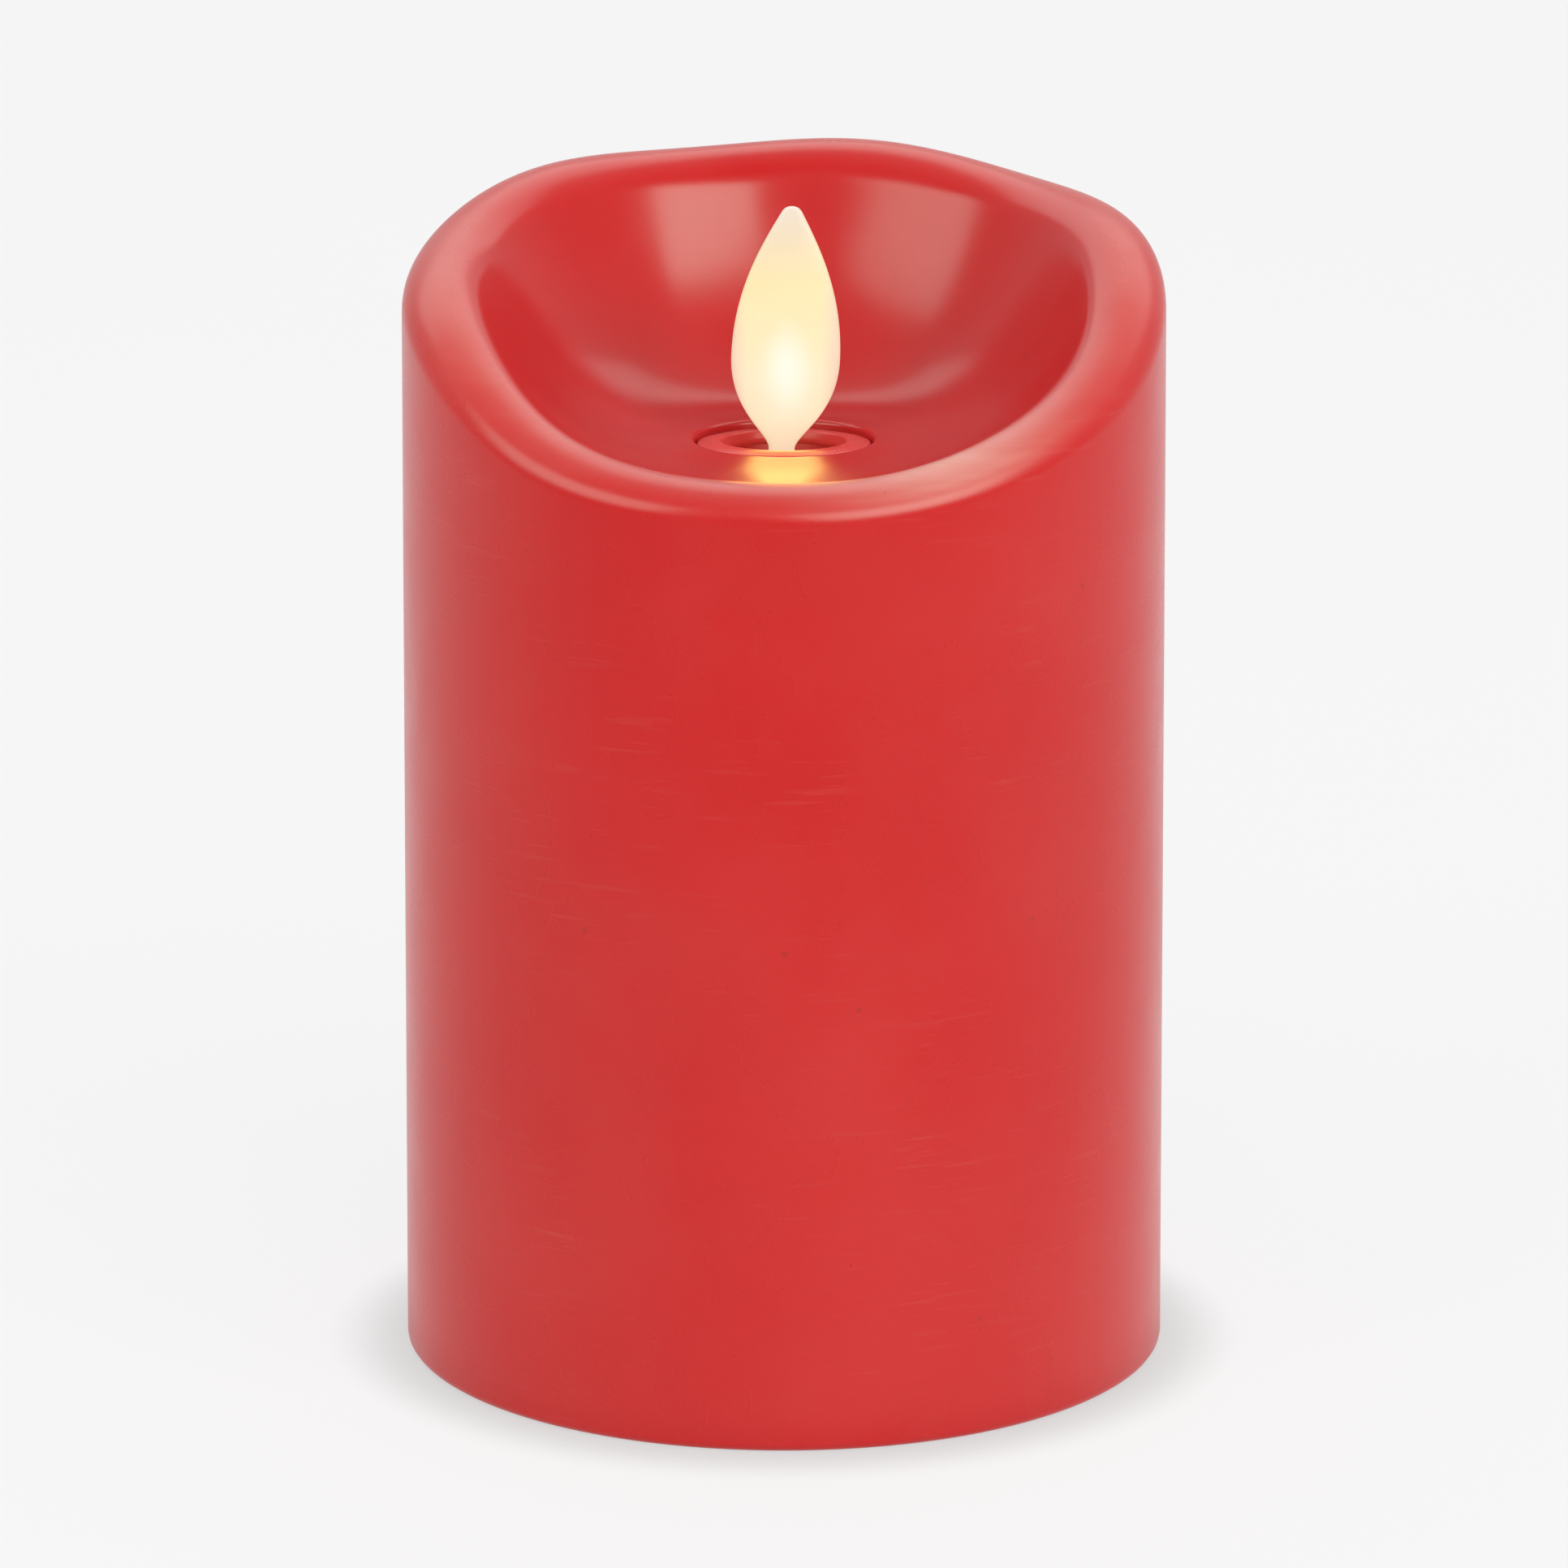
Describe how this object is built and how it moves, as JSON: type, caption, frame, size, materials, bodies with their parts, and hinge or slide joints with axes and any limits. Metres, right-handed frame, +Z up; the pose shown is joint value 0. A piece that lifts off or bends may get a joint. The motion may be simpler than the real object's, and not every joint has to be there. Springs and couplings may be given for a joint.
{
  "type": "flameless led candle",
  "caption": "Battery pillar candle of real wax with a wavy rim and bowl, a collar and a swinging flame plate lit by an LED, a slide switch and a hinged battery door.",
  "frame": {"origin": "middle of the wax foot, on the surface that the candle stands on", "axes": "+Z up along the pillar, +Y to the back where the rim is highest, +X to the right seen from the front"},
  "size_m": [0.0762, 0.0762, 0.1165],
  "materials": {
    "wax": "satin real wax, slightly translucent",
    "collar_red": "satin",
    "flame_ivory": "matt translucent",
    "magnet": "nickel plated",
    "wire_steel": "drawn",
    "housing_red": "fine moulded texture",
    "screw_steel": "zinc plated",
    "led_lens": "clear epoxy, warm",
    "clip_grey": "moulded",
    "bobbin": "moulded",
    "copper": "enamelled copper wire",
    "base_red": "fine moulded texture",
    "glue": "hot-melt",
    "board_green": "solder mask",
    "chip_black": "moulded",
    "capacitor_sleeve": "shrink sleeve",
    "switch_grey": "moulded",
    "knob_black": "ribbed",
    "contact_metal": "nickel plated",
    "cell_wrap": "plain printed sleeve, bare ends",
    "lead_red": "soft insulation",
    "lead_black": "soft insulation",
    "lead_ivory": "soft insulation",
    "lead_yellow": "soft insulation"
  },
  "bodies": {
    "candle": {"wax_shell": "wax", "wick_collar": "collar_red", "flame_wire": "wire_steel", "housing_left": "housing_red", "housing_right": "housing_red", "housing_screws": "screw_steel", "module_screws": "screw_steel", "spot_led": "led_lens", "led_clip": "clip_grey", "led_leads": "lead_yellow", "coil_bobbin": "bobbin", "coil_winding": "copper", "coil_leads": "copper", "base_chassis": "base_red", "glue_beads": "glue", "control_board": "board_green", "board_screws": "screw_steel", "timer_chip": "chip_black", "board_capacitor": "capacitor_sleeve", "board_resistors": "chip_black", "ir_receiver": "chip_black", "switch_body": "switch_grey", "switch_pins": "contact_metal", "switch_screws": "screw_steel", "switch_leads": "lead_ivory", "battery_left": "cell_wrap", "battery_right": "cell_wrap", "cell_contact": "contact_metal", "cell_spring": "contact_metal", "battery_lead_red": "lead_red", "battery_lead_black": "lead_black"},
    "flame": {"flame_plate": "flame_ivory", "flame_magnet": "magnet"},
    "switch": {"switch_knob": "knob_black"},
    "door": {"battery_door": "base_red", "bridge_contact": "contact_metal", "bridge_spring": "contact_metal"}
  },
  "joints": [
    {"name": "flame_sway", "type": "hinge", "parent": "candle", "child": "flame", "pos_m": [0, 0, 0.0875], "axis": [0, 1, 0], "range_deg": [-14, 14]},
    {"name": "switch_slide", "type": "slide", "parent": "candle", "child": "switch", "axis": [1, 0, 0], "range_m": [0, 0.004]},
    {"name": "battery_door", "type": "hinge", "parent": "candle", "child": "door", "pos_m": [0, -0.0156, 0.002], "axis": [-1, 0, 0], "range_deg": [0, 95]}
  ]
}
